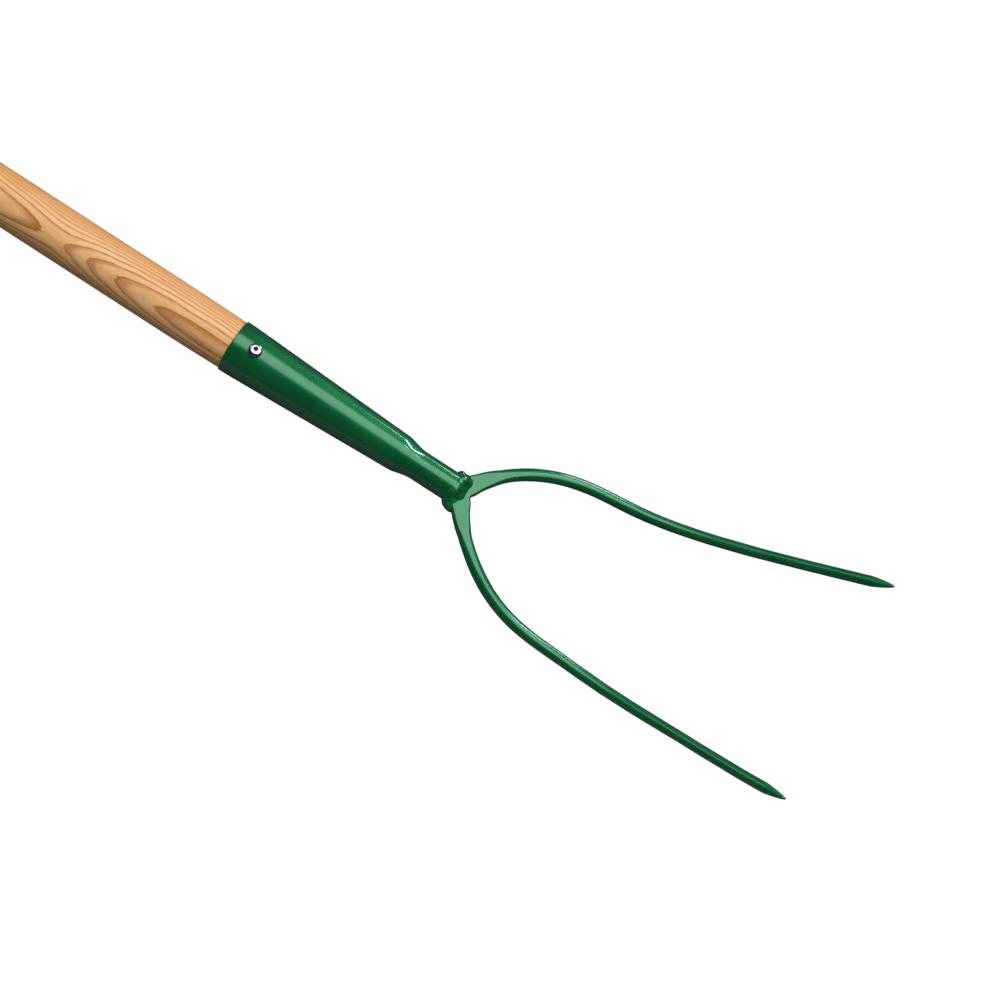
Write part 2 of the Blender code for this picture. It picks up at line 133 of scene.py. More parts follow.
# Weld lumps: centre, half-sizes, turn about Z in degrees.
FRONT_LUMPS = (
    ((-0.0020, -0.0003, 0.0014), (0.0078, 0.0108, 0.0088), 0),
    ((0.0004, 0.0064, 0.0050), (0.0048, 0.0044, 0.0048), 0),
    ((-0.0022, 0.0088, 0.0048), (0.0034, 0.0036, 0.0037), 0),
    ((0.0024, 0.0070, 0.0026), (0.0058, 0.0057, 0.0052), 0),
    ((0.0028, 0.0018, 0.0014), (0.0054, 0.0056, 0.0056), 0),
    ((0.0034, -0.0030, 0.0010), (0.0056, 0.0058, 0.0054), 0),
    ((0.0014, -0.0082, 0.0006), (0.0050, 0.0054, 0.0052), 20),
)
SIDE_LUMPS = (
    ((0.0006, -0.0124, 0.0000), (0.0062, 0.0032, 0.0040), -24),
    ((-0.0026, -0.0106, 0.0014), (0.0036, 0.0022, 0.0022), -10),
)
BACK_LUMPS = (
    ((-0.0010, 0.0010, -0.0050), (0.0078, 0.0076, 0.0058), 0),
    ((0.0006, 0.0064, -0.0042), (0.0066, 0.0050, 0.0050), 0),
    ((0.0002, -0.0060, -0.0044), (0.0070, 0.0056, 0.0050), 0),
)
WELD_VOXEL = 0.00032
WELD_SMOOTHING = 45
WELD_ROUGHNESS = 0.00016

# Screw.
SCREW_LEAN = math.radians(3.5)
HEAD_RADIUS = 0.00475
HEAD_HEIGHT = 0.0029
RIM_HEIGHT = 0.0008
RIM_ROUND = 0.0004
SHANK_RADIUS = 0.0017
THREAD_RADIUS = 0.0024
THREAD_PITCH = 0.0022
PLAIN_SHANK = 0.004
SCREW_LENGTH = 0.025
RECESS_TURN = math.radians(12)
RECESS_OFFSET = 0.0006
RECESS_ARM_LENGTH = 0.0050
RECESS_ARM_WIDTH = 0.00100
RECESS_ARM_DEPTH = 0.0036
HOLE_RADIUS = 0.0027
GAP = 0.0003

# Ash grain: growth rings are planes that lean round the shaft. Each dip is a place, a width and a depth.
RING_SPACING = 0.00225
GRAIN_TURN = math.radians(50)
GRAIN_TWIST = math.radians(50)
GRAIN_BASE = -0.01018
GRAIN_DIPS = (
    (-0.3077, 0.0209, 0.00166), (-0.3275, 0.0785, 0.00745), (-0.560, 0.090, 0.0065),
    (-0.745, 0.055, 0.0040), (-0.930, 0.110, 0.0080), (-1.150, 0.070, 0.0050), (-1.320, 0.090, 0.0070),
)

# Camera, aimed at a point on the plane of the tool's axis.
VIEW_TARGET = Vector((0.0200, 0.0129, 0.0))
VIEW_DISTANCE = 1.1547
VIEW_TURN = Euler((math.radians(15.478), math.radians(-12.58), math.radians(30.77)))
SENSOR = 36.0
FOCAL_LENGTH = 62.4

# Floor.
FLOOR_HALF = 12.0
FLOOR_HEIGHT = -0.0005

# Lights: name, place from the neck, long way, size, power, soft share of the width, whether it lights
# the surface, and whether it is reflected.
LIGHTS = (
    ("key_softbox", (0.13, 0.46, 1.60), (1.0, 0.0, 0.0), (3.0, 1.85), 47, 0.30, True, True),
    ("key_tail", (-1.90, 0.55, 1.35), (1.0, 0.0, 0.0), (2.0, 1.7), 12, 0.35, False, True),
    ("key_fill", (0.13, 0.60, 1.60), (1.0, 0.0, 0.0), (2.0, 1.6), 48, 0.30, True, False),
    ("side_strip", (0.33, 1.40, 0.64), (1.0, 0.0, 1.0), (1.12, 0.13), 19, 0.30, False, True),
    ("high_strip", (0.50, 1.10, 1.50), (1.0, 0.0, 0.0), (0.60, 0.09), 3, 0.30, False, True),
    ("side_fill", (0.20, 1.80, 0.60), (1.0, 0.0, 0.0), (2.0, 1.2), 10, 0.30, True, False),
    ("low_fill", (0.00, -1.60, 0.60), (1.0, 0.0, 0.0), (2.0, 1.2), 10, 0.30, True, False),
)


def spread(start, end, steps):
    """Evenly spaced values from start to end."""
    return [start + (end - start) * i / steps for i in range(steps + 1)]


def ease(share):
    """Smooth step from 0 to 1."""
    return (1 - math.cos(math.pi * min(1.0, max(0.0, share)))) / 2


def interpolate(stations, where):
    """Value at a place on a line through (place, value) stations."""
    return float(np.interp(where, [place for place, _ in stations], [value for _, value in stations]))


def new_object(name, data):
    """Add an object to the scene."""
    made = bpy.data.objects.new(name, data)
    bpy.context.scene.collection.objects.link(made)
    return made


def new_piece(name, mesh, material, location=ORIGIN):
    """Add a mesh as a named piece in the tool's axes."""
    piece = new_object(name, mesh)
    piece.location = location
    mesh.materials.append(material)
    return piece


def shade(mesh, sharp_angle):
    """Smooth shading, with sharp edges past an angle in degrees."""
    mesh.shade_smooth()
    mesh.set_sharp_from_angle(angle=math.radians(sharp_angle))


def settle(shape, name, sharp_angle=40):
    """Turn a bmesh into a smooth-shaded mesh with its faces pointing out."""
    bmesh.ops.recalc_face_normals(shape, faces=shape.faces)
    mesh = bpy.data.meshes.new(name)
    shape.to_mesh(mesh)
    shape.free()
    shade(mesh, sharp_angle)
    return mesh


def skin(shape, rings, closed=False):
    """Faces between rings of points. A ring of one point is a pole, and a closed skin is a loop of rings."""
    steps = max(len(ring) for ring in rings)
    pairs = list(zip(rings, rings[1:]))
    if closed:
        pairs.append((rings[-1], rings[0]))
    for one, other in pairs:
        for i in range(steps):
            j = (i + 1) % steps
            corners = (one[i % len(one)], one[j % len(one)], other[j % len(other)], other[i % len(other)])
            shape.faces.new(list(dict.fromkeys(corners)))


def apply_modifiers(piece):
    """Replace a piece's mesh by its evaluated one."""
    graph = bpy.context.evaluated_depsgraph_get()
    mesh = bpy.data.meshes.new_from_object(piece.evaluated_get(graph))
    piece.modifiers.clear()
    piece.data = mesh


def drill(piece, cutter_mesh, location=ORIGIN, turn=(0.0, 0.0, 0.0)):
    """Cut a closed mesh away from a piece."""
    cutter = new_object("cutter", cutter_mesh)
    cutter.location = location
    cutter.rotation_euler = turn
    boolean = piece.modifiers.new("cut", "BOOLEAN")
    boolean.operation = "DIFFERENCE"
    boolean.solver = "EXACT"
    boolean.object = cutter
    apply_modifiers(piece)
    bpy.data.objects.remove(cutter)


# Turned pieces.

def turned_mesh(name, profile, closed):
    """Revolve (radius, place along X) points about the tool's axis. An open profile starts and ends on it."""
    shape = bmesh.new()
    rings = []
    for radius, along in profile:
        if radius < 1e-7:
            rings.append([shape.verts.new((along, 0.0, 0.0))])
            continue
        angles = [2 * math.pi * i / TURNED_STEPS for i in range(TURNED_STEPS)]
        rings.append([shape.verts.new((along, radius * math.sin(a), radius * math.cos(a))) for a in angles])
    skin(shape, rings, closed)
    return settle(shape, name)


def socket_radius(along):
    """Outer radius of the socket: curled lip, flare, straight taper, shoulder, neck."""
    if along >= SHOULDER_END_X:
        return NECK_RADIUS
    if along >= SHOULDER_START_X:
        share = (along - SHOULDER_START_X) / (SHOULDER_END_X - SHOULDER_START_X)
        return SHOULDER_START_RADIUS + (NECK_RADIUS - SHOULDER_START_RADIUS) * ease(share)
    taper = ((MOUTH_X, MOUTH_RADIUS), (TAPER_START_X, TAPER_START_RADIUS),
             (SHOULDER_START_X, SHOULDER_START_RADIUS))
    curl = max(0.0, 1 - (along - MOUTH_X) / LIP_LENGTH)
    return interpolate(taper, along) - LIP_CURL * (1 - math.sqrt(1 - 0.98 * curl ** 2))


def bore_radius(along):
    """Inner radius of the socket."""
    if along >= SHOULDER_START_X:
        start = SHOULDER_START_RADIUS - SOCKET_WALL
        share = (along - SHOULDER_START_X) / (SHOULDER_END_X - SHOULDER_START_X)
        return start + (NECK_BORE_RADIUS - start) * ease(share)
    return socket_radius(along) - SOCKET_WALL


def handle_radius(along):
    """Radius of the shaft, which narrows towards the socket's mouth and fills the bore beyond it."""
    share = min(1.0, (MOUTH_X - along) / MOUTH_NARROWING)
    if share >= 0:
        return HANDLE_RADIUS - (HANDLE_RADIUS - HANDLE_AT_MOUTH) * (1 - share) ** 2
    return min(HANDLE_AT_MOUTH, bore_radius(along) - GAP / 2)


def make_handle(material):
    """Turned shaft with a rounded butt, drilled for the screw."""
    profile = [(0.0, SEAT_END_X)]
    places = spread(SEAT_END_X, SCREW_X + PAST_HOLE, 12)
    places += spread(SCREW_X + PAST_HOLE - 0.001, MOUTH_X, 14)
    places += spread(MOUTH_X, MOUTH_X - MOUTH_NARROWING, 24)[1:]
    profile += [(handle_radius(x), x) for x in places]
    profile += [(HANDLE_RADIUS, x) for x in spread(MOUTH_X - MOUTH_NARROWING, BUTT_X + BUTT_ROUND, 60)[1:-1]]
    round_width = HANDLE_RADIUS - BUTT_FLAT_RADIUS
    for angle in spread(0.0, math.pi / 2, 14):
        radius = BUTT_FLAT_RADIUS + round_width * math.cos(angle)
        profile.append((radius, BUTT_X + BUTT_ROUND * (1 - math.sin(angle))))
    profile.append((0.0, BUTT_X))
    piece = new_piece("ash_handle", turned_mesh("ash_handle", profile, closed=False), material)
    drill(piece, screw_hole_mesh(-SCREW_LENGTH), *screw_place())
    shade(piece.data, TURNED_SHARP_ANGLE)
    return piece


def make_socket(material):
    """Tapered tube with a curled, rounded mouth, drilled for the screw."""
    lip = SOCKET_WALL / 2
    places = spread(NECK_END_X + NECK_UNDER_WELD, SHOULDER_END_X, 12)[:-1]
    places += spread(SHOULDER_END_X, SHOULDER_START_X, 24)[:-1]
    places += spread(SHOULDER_START_X, SCREW_X + SOCKET_PAST_HOLE, 30)[:-1]
    places += spread(SCREW_X + SOCKET_PAST_HOLE, MOUTH_X + LIP_LENGTH, 22)[:-1]
    places += spread(MOUTH_X + LIP_LENGTH, MOUTH_X + lip, 8)
    outside = [(socket_radius(x), x) for x in places]
    middle = outside[-1][0] - lip
    turns = spread(0, math.pi, 10)[1:-1]
    rim = [(middle + lip * math.cos(a), MOUTH_X + lip - lip * math.sin(a)) for a in turns]
    inside = [(bore_radius(x), x) for x in reversed(places)]
    inside[0] = (middle - lip, inside[0][1])
    mesh = turned_mesh("green_socket", outside + rim + inside, closed=True)
    piece = new_piece("green_socket", mesh, material)
    drill(piece, screw_hole_mesh(0.0), *screw_place())
    shade(piece.data, TURNED_SHARP_ANGLE)
    return piece


# The forged fork.

def path_point(share):
    """Point of the clamped cubic B-spline on TINE_PATH, for a share from 0 to 1."""
    controls = [Vector(point) for point in TINE_PATH]
    spans = len(controls) - 3
    knots = [0.0] * 3 + [float(i) for i in range(spans + 1)] + [float(spans)] * 3
    where = min(share * spans, spans - 1e-9)
    first = int(where)
    points = controls[first:first + 4]
    for level in range(1, 4):
        for j in range(3, level - 1, -1):
            low = knots[first + j]
            high = knots[first + j + 4 - level]
            points[j] = points[j - 1].lerp(points[j], (where - low) / (high - low))
    return points[3]


def tine_stations(shares, samples=1500):
    """Centre and direction at shares of the path's length, and the length."""
    fine = [path_point(i / samples) for i in range(samples + 1)]
    steps = [(b - a).length for a, b in zip(fine, fine[1:])]
    lengths = np.concatenate(([0.0], np.cumsum(steps)))
    centres = np.array([np.interp(shares, lengths / lengths[-1], [p[k] for p in fine]) for k in range(3)]).T
    slopes = np.gradient(np.array(fine), axis=0)
    forward = np.array([np.interp(shares, lengths / lengths[-1], slopes[:, k]) for k in range(3)]).T
    forward /= np.linalg.norm(forward, axis=1)[:, None]
    return centres, forward, lengths[-1]


def unit_outline():
    """A square's outline as rows of (flat x, flat y, corner x, corner y)."""
    side = [(1.0, j / FLAT_POINTS, 1.0, 0.0) for j in range(FLAT_POINTS)]
    turns = spread(0.0, math.pi / 2, CORNER_POINTS)
    corner = [(1.0, 1.0, math.cos(a), math.sin(a)) for a in turns]
    top = [(1 - j / FLAT_POINTS, 1.0, 0.0, 1.0) for j in range(1, FLAT_POINTS)]
    quarter = np.array(side + corner + top)
    rows = [quarter]
    for _ in range(3):
        last = rows[-1]
        rows.append(np.stack([-last[:, 1], last[:, 0], -last[:, 3], last[:, 2]], axis=1))
    return np.concatenate(rows)


OUTLINE = unit_outline()


def section(centre, sideways, upward, half_width, half_thickness, corner_share, point_share):
    """Ring of points: a rectangle with round corners that turns towards a square on edge near the point."""
    corner = corner_share * min(half_width, half_thickness)
    across = (half_width - corner) * OUTLINE[:, 0] + corner * OUTLINE[:, 2]
    up = (half_thickness - corner) * OUTLINE[:, 1] + corner * OUTLINE[:, 3]
    angles = 2 * math.pi * np.arange(len(OUTLINE)) / len(OUTLINE)
    on_edge = 1 / (np.abs(np.cos(angles)) + np.abs(np.sin(angles)))
    across += (half_width * np.cos(angles) * on_edge - across) * point_share
    up += (half_thickness * np.sin(angles) * on_edge - up) * point_share
    return np.array(centre) + across[:, None] * np.array(sideways) + up[:, None] * np.array(upward)


def fan_rings(first_inner, first_outer):
    """Rings of the V root, fanning out from the symmetry plane to the first square-on section."""
    rings = []
    for share in spread(0.0, 1.0, 12)[:-1]:
        angle = (math.pi / 2 - ROOT_ANGLE) * share
        inner_x = CROTCH_X + CROTCH_RADIUS * (1 - math.cos(angle))
        inner = Vector((inner_x, CROTCH_RADIUS * math.sin(angle), first_inner.z))
        outer = Vector((ROOT_APEX_X, 0.0, first_inner.z)).lerp(first_outer, share)
        sideways = (outer - inner).normalized()
        rings.append(section((inner + outer) / 2, sideways, (0.0, 0.0, 1.0), (outer - inner).length / 2,
                             ROOT_THICKNESS / 2, CORNER_SHARE[0][1], 0.0))
    return rings


def point_shape(towards_end):
    """Size of the section along the blunt point, and how far it has turned to a square on edge."""
    size = (1.0 - 0.72 * towards_end ** 1.45) * math.sqrt(max(0.0, 1.0 - towards_end ** 10))
    return size, 0.15 * ease(towards_end * 1.6)


def tine_rings():
    """Rings of one half of the fork, from the symmetry plane to the point."""
    length = tine_stations([0.5])[2]
    point_start = 1.0 - POINT_LENGTH / length
    shares = spread(ROOT_START, ROOT_RINGS_END, 44)[:-1]
    shares += spread(ROOT_RINGS_END, point_start, 150)[:-1]
    shares += [point_start + (1.0 - point_start) * math.sin(a) for a in spread(0.0, math.pi / 2, 26)[:-1]]
    centres, forwards, _ = tine_stations(shares)
    rings = []
    for share, centre, forward in zip(shares, centres, forwards):
        sideways = np.cross((0.0, 0.0, 1.0), forward)
        sideways /= np.linalg.norm(sideways)
        size, point_share = point_shape(max(0.0, (share - point_start) / (1.0 - point_start)))
        half_width = interpolate(TINE_WIDTH, share) / 2 * size * FIT_INSIDE
        half_thickness = interpolate(TINE_THICKNESS, share) / 2 * size * FIT_INSIDE
        if not rings:
            inner = Vector(centre - sideways * half_width)
            outer = Vector(centre + sideways * half_width)
            rings = fan_rings(inner, outer)
        rings.append(section(centre, sideways, np.cross(forward, sideways), half_width, half_thickness,
                             interpolate(CORNER_SHARE, share), point_share))
    return rings


def hammered(point):
    """Slight waviness of a forged surface."""
    return noise.noise_vector(point * HAMMER_SCALE) * HAMMER_DEPTH


def make_tine_fork(material):
    """Skin both halves of the fork over their rings."""
    shape = bmesh.new()
    for side in (1, -1):
        rings = tine_rings()
        rows = []
        for number, ring in enumerate(rings):
            points = [Vector((p[0], side * p[1], p[2])) for p in ring]
            if number:
                fade = min(1.0, (len(rings) - number) / HAMMER_FADE_RINGS)
                points = [p + hammered(p) * fade for p in points]
            else:
                points = [Vector((p.x, 0.0, p.z)) for p in points]
            rows.append([shape.verts.new(p) for p in points])
        end = TINE_PATH[-1]
        rows.append([shape.verts.new((end[0] - TIP_CAP, side * end[1], end[2]))])
        skin(shape, rows)
    bmesh.ops.remove_doubles(shape, verts=shape.verts, dist=1e-6)
    mesh = settle(shape, "green_tine_fork", sharp_angle=60)
    return new_piece("green_tine_fork", mesh, material)


# Welds.

def make_weld(name, lumps, material):
    """Run of lumps fused into one uneven bead."""
    shape = bmesh.new()
    for centre, half_sizes, turn in lumps:
        made = bmesh.ops.create_icosphere(shape, subdivisions=4, radius=1.0)
        place = Matrix.Translation(centre) @ Matrix.Rotation(math.radians(turn), 4, "Z")
        bmesh.ops.transform(shape, matrix=place @ Matrix.Diagonal((*half_sizes, 1.0)), verts=made["verts"])
    mesh = bpy.data.meshes.new(name)
    shape.to_mesh(mesh)
    shape.free()
    piece = new_piece(name, mesh, material)
    remesh = piece.modifiers.new("fuse", "REMESH")
    remesh.mode = "VOXEL"
    remesh.voxel_size = WELD_VOXEL
    apply_modifiers(piece)
    shape = bmesh.new()
    shape.from_mesh(piece.data)
    for _ in range(WELD_SMOOTHING):
        bmesh.ops.smooth_vert(shape, verts=shape.verts, factor=0.5, use_axis_x=True, use_axis_y=True,
                              use_axis_z=True)
    for vertex in shape.verts:
        coarse = noise.noise(vertex.co * 230) * WELD_ROUGHNESS
        fine = noise.noise(vertex.co * 700) * WELD_ROUGHNESS * 0.25
        vertex.co += vertex.normal * (coarse + fine)
    piece.data = settle(shape, name, sharp_angle=180)
    piece.data.materials.append(material)
    return piece


# The screw. Its local Z points out of the socket, with zero on the tool's axis.

def screw_place():
    """Location and turn of the screw's own axes."""
    return ORIGIN + Vector((SCREW_X, 0.0, 0.0)), (SCREW_LEAN, 0.0, 0.0)


def lathe_z(profile, steps):
    """Solid turned about Z from (radius, height) points, from one end on the axis to the other."""
    shape = bmesh.new()
    rings = []
    for radius, height in profile:
        count = 1 if radius < 1e-7 else steps
        turns = [2 * math.pi * i / steps for i in range(count)]
        rings.append([shape.verts.new((radius * math.cos(a), radius * math.sin(a), height)) for a in turns])
    skin(shape, rings)
    return shape


def screw_hole_mesh(low):
    """Cutter for the hole that the screw passes through."""
    bottom = socket_radius(SCREW_X) + low
    top = MOUTH_RADIUS * 1.5
    shape = lathe_z([(0.0, bottom), (HOLE_RADIUS, bottom), (HOLE_RADIUS, top), (0.0, top)], 40)
    return settle(shape, "screw_hole")


def thread_ring(along, end, steps):
    """Ring of a V thread on a plain core."""
    points = []
    for i in range(steps):
        angle = 2 * math.pi * i / steps
        phase = (along / THREAD_PITCH - i / steps) % 1.0
        ridge = max(0.0, 1.0 - abs(phase - 0.5) / 0.3)
        fade = min(1.0, (end - along) / THREAD_PITCH, (along + SCREW_LENGTH) / THREAD_PITCH)
        core = SHANK_RADIUS * min(1.0, 0.2 + (along + SCREW_LENGTH) / 0.005)
        radius = core + (THREAD_RADIUS - SHANK_RADIUS) * ridge * max(0.0, fade)
        points.append((radius * math.cos(angle), radius * math.sin(angle), along))
    return points


def screw_shape(steps=72):
    """Screw with heights measured from under its head: thread, plain shank and a domed pan head."""
    shape = bmesh.new()
    rows = [thread_ring(z, -PLAIN_SHANK, steps) for z in spread(-SCREW_LENGTH + 0.0002, -PLAIN_SHANK, 110)]
    flat_radius = HEAD_RADIUS - RIM_ROUND
    outline = [(SHANK_RADIUS, -0.0005), (SHANK_RADIUS, 0.0), (flat_radius, 0.0)]
    for a in spread(0.0, math.pi / 2, 5)[1:]:
        outline.append((flat_radius + RIM_ROUND * math.sin(a), 0.0003 - 0.0003 * math.cos(a)))
    for a in spread(0.0, math.radians(84), 22):
        height = RIM_HEIGHT + (HEAD_HEIGHT - RIM_HEIGHT) * math.sin(a)
        outline.append((HEAD_RADIUS * math.cos(a) ** 0.42, height))
    turns = [2 * math.pi * i / steps for i in range(steps)]
    rows += [[(radius * math.cos(a), radius * math.sin(a), z) for a in turns] for radius, z in outline]
    rings = [[shape.verts.new(p) for p in row] for row in rows]
    rings.insert(0, [shape.verts.new((0.0, 0.0, -SCREW_LENGTH))])
    rings.append([shape.verts.new((0.0, 0.0, HEAD_HEIGHT))])
    skin(shape, rings)
    return shape


def shift_recess(shape):
    """The recess sits a little off the head's centre."""
    bmesh.ops.translate(shape, verts=shape.verts, vec=(0.0, RECESS_OFFSET, 0.0))
    return shape


def recess_pit():
    """Round pit in the middle of the cross recess."""
    top = HEAD_HEIGHT + 0.0004
    profile = [(0.0, HEAD_HEIGHT - 0.0021), (0.0005, HEAD_HEIGHT - 0.0019), (0.00135, HEAD_HEIGHT - 0.0003),
               (0.0019, top), (0.0, top)]
    return shift_recess(lathe_z(profile, 32))


def recess_arm(turn):
    """One bar of the cross recess, narrower at its floor."""
    shape = bmesh.new()
    bmesh.ops.create_cube(shape, size=1.0)
    for corner in shape.verts:
        share = 1.0 if corner.co.z > 0 else 0.5
        corner.co.x *= RECESS_ARM_LENGTH * share
        corner.co.y *= RECESS_ARM_WIDTH * share
        corner.co.z = corner.co.z * RECESS_ARM_DEPTH + HEAD_HEIGHT + 0.0001
    bmesh.ops.rotate(shape, verts=shape.verts, cent=(0, 0, 0), matrix=Matrix.Rotation(turn, 3, "Z"))
    return shift_recess(shape)


def make_screw(material):
    """Pan-head wood screw with a cross recess."""
    place, turn = screw_place()
    under_head = Vector((0.0, 0.0, socket_radius(SCREW_X) + 0.0002))
    piece = new_piece("cross_screw", settle(screw_shape(), "cross_screw", 35), material, (0.0, 0.0, 0.0))
    for cutter in (recess_pit(), recess_arm(RECESS_TURN), recess_arm(RECESS_TURN + math.pi / 2)):
        drill(piece, settle(cutter, "recess"), (0.0, 0.0, 0.0))
    piece.data.transform(Matrix.Translation(under_head))
    shade(piece.data, 30)
    piece.location = place
    piece.rotation_euler = turn
    return piece


# Materials.

class Graph:
    """A material's node tree, with short names for the nodes that it is made of."""

    def __init__(self, name):
        self.material = bpy.data.materials.new(name)
        self.material.use_nodes = True
        self.tree = self.material.node_tree
        self.shader = self.tree.nodes["Principled BSDF"]
        self.place = self.node("TexCoord").outputs["Object"]

    def node(self, kind, **settings):
        made = self.tree.nodes.new("ShaderNode" + kind)
        for key, value in settings.items():
            setattr(made, key, value)
        return made

    def plug(self, socket, value):
        if isinstance(value, bpy.types.NodeSocket):
            self.tree.links.new(value, socket)
        else:
            socket.default_value = value

    def math(self, operation, *values):
        made = self.node("Math", operation=operation)
        for socket, value in zip(made.inputs, values):
            self.plug(socket, value)
        return made.outputs[0]

    def ramp(self, value, low, high, start=0.0, end=1.0):
        """Smooth ramp of a value from one range to another."""
        made = self.node("MapRange", interpolation_type="SMOOTHSTEP")
        for name, number in (("Value", value), ("From Min", low), ("From Max", high), ("To Min", start),
                             ("To Max", end)):
            self.plug(made.inputs[name], number)
        return made.outputs[0]

    def mix(self, share, low, high, blend="MIX"):
        made = self.node("Mix", data_type="RGBA", blend_type=blend)
        self.plug(made.inputs[0], share)
        self.plug(made.inputs[6], low)
        self.plug(made.inputs[7], high)
        return made.outputs[2]

    def vector(self, x, y, z):
        made = self.node("CombineXYZ")
        for socket, value in zip(made.inputs, (x, y, z)):
            self.plug(socket, value)
        return made.outputs[0]

    def stretched(self, scale, offset=(0.0, 0.0, 0.0)):
        """Object coordinates scaled along each axis."""
        made = self.node("Mapping")
        self.plug(made.inputs["Vector"], self.place)
        made.inputs["Scale"].default_value = scale
        made.inputs["Location"].default_value = offset
        return made.outputs[0]

    def noise(self, vector, scale=1.0, detail=2.0, roughness=0.5):
        made = self.node("TexNoise")
        self.plug(made.inputs["Vector"], vector)
        made.inputs["Scale"].default_value = scale
        made.inputs["Detail"].default_value = detail
        made.inputs["Roughness"].default_value = roughness
        return made.outputs["Fac"]

    def bump(self, height, strength, distance, under=None):
        made = self.node("Bump")
        made.inputs["Strength"].default_value = strength
        made.inputs["Distance"].default_value = distance
        self.plug(made.inputs["Height"], height)
        if under:
            self.plug(made.inputs["Normal"], under)
        return made.outputs[0]


def ring_phase(g, x, y, z):
    """Count of growth rings at a point of the shaft."""
    turn = g.math("MULTIPLY_ADD", x, GRAIN_TWIST, GRAIN_TURN)
    depth = g.math("SUBTRACT", g.math("MULTIPLY", z, g.math("COSINE", turn)),
                   g.math("MULTIPLY", y, g.math("SINE", turn)))
    drift = g.math("ADD", depth, GRAIN_BASE)
    for place, width, dip in GRAIN_DIPS:
        away = g.math("DIVIDE", g.math("SUBTRACT", x, place), width)
        bell = g.math("EXPONENT", g.math("MULTIPLY", g.math("MULTIPLY", away, away), -1.0))
        drift = g.math("MULTIPLY_ADD", bell, -dip, drift)
    wander = g.noise(g.stretched((22.0, 60.0, 60.0)), detail=1.0)
    drift = g.math("MULTIPLY_ADD", g.math("SUBTRACT", wander, 0.5), 0.0009, drift)
    return g.math("DIVIDE", drift, RING_SPACING)


def ash_wood():
    """Satin-lacquered ash: drifting growth rings with dark porous early wood, fine fibres and pores."""
    g = Graph("ash_grain")
    split = g.node("SeparateXYZ")
    g.plug(split.inputs[0], g.place)
    x, y, z = split.outputs
    phase = ring_phase(g, x, y, z)
    fringe = g.noise(g.stretched((75.0, 950.0, 950.0)), detail=2.0)
    ring = g.math("FRACT", g.math("MULTIPLY_ADD", fringe, 0.26, phase))
    width = g.ramp(y, -0.018, 0.012, 0.62, 0.46)
    fade = g.math("SUBTRACT", 1.0, g.ramp(ring, 0.08, width))
    line = g.math("MULTIPLY", g.ramp(ring, 0.0, 0.06), fade)
    strength = g.noise(g.vector(g.math("MULTIPLY", x, 14.0), g.math("FLOOR", phase), 0.0), detail=1.0)
    line = g.math("MULTIPLY", line, g.ramp(strength, 0.25, 0.65, 0.60, 1.0))
    line = g.math("MULTIPLY", line, g.ramp(y, 0.004, 0.012, 1.0, 0.40))

    fibre_y = g.math("MULTIPLY", y, 300.0)
    fibre = g.vector(g.math("MULTIPLY", x, 45.0), g.math("MULTIPLY", phase, 9.0), fibre_y)
    fibre = g.noise(fibre, detail=3.0, roughness=0.6)
    streak = g.noise(g.stretched((110.0, 1500.0, 1500.0)), detail=3.0, roughness=0.65)
    pore = g.noise(g.stretched((320.0, 5200.0, 5200.0)), detail=1.0)
    pore = g.math("MULTIPLY", g.ramp(pore, 0.60, 0.70), g.math("MULTIPLY_ADD", line, 0.8, 0.2))
    tone = g.noise(g.stretched((9.0, 40.0, 40.0)), detail=2.0)

    colour = g.mix(g.ramp(tone, 0.3, 0.7), (0.68, 0.390, 0.160, 1.0), (0.735, 0.445, 0.215, 1.0))
    # Painted shade: towards +Y the wood is painted darker and more orange, standing in for the weaker sheen
    # on that side.
    colour = g.mix(g.ramp(y, 0.002, 0.012, 0.0, 0.55), colour, (0.66, 0.330, 0.125, 1.0))
    colour = g.mix(g.math("MULTIPLY", line, 0.95), colour, (0.55, 0.33, 0.11, 1.0), blend="MULTIPLY")
    colour = g.mix(g.ramp(fibre, 0.45, 0.72, 0.0, 0.65), colour, (0.80, 0.62, 0.40, 1.0), blend="MULTIPLY")
    colour = g.mix(g.ramp(streak, 0.35, 0.7, 0.0, 0.45), colour, (0.80, 0.66, 0.48, 1.0), blend="MULTIPLY")
    colour = g.mix(g.math("MULTIPLY", pore, 0.6), colour, (0.22, 0.085, 0.022, 1.0))
    handled = g.ramp(x, BUTT_X + 0.030, BUTT_X, 0.0, 0.35)
    colour = g.mix(handled, colour, (0.30, 0.15, 0.055, 1.0))
    g.plug(g.shader.inputs["Base Color"], colour)
    g.plug(g.shader.inputs["Roughness"], g.ramp(fibre, 0.3, 0.7, 0.42, 0.54))
    g.shader.inputs["Specular IOR Level"].default_value = 0.35
    g.shader.inputs["Coat Weight"].default_value = 0.20
    g.shader.inputs["Coat Roughness"].default_value = 0.28
    relief = g.math("MULTIPLY_ADD", pore, -1.0, g.math("MULTIPLY", line, -0.5))
    relief = g.math("MULTIPLY_ADD", streak, 0.5, relief)
    g.plug(g.shader.inputs["Normal"], g.bump(relief, 0.35, 0.00006))
    return g.material


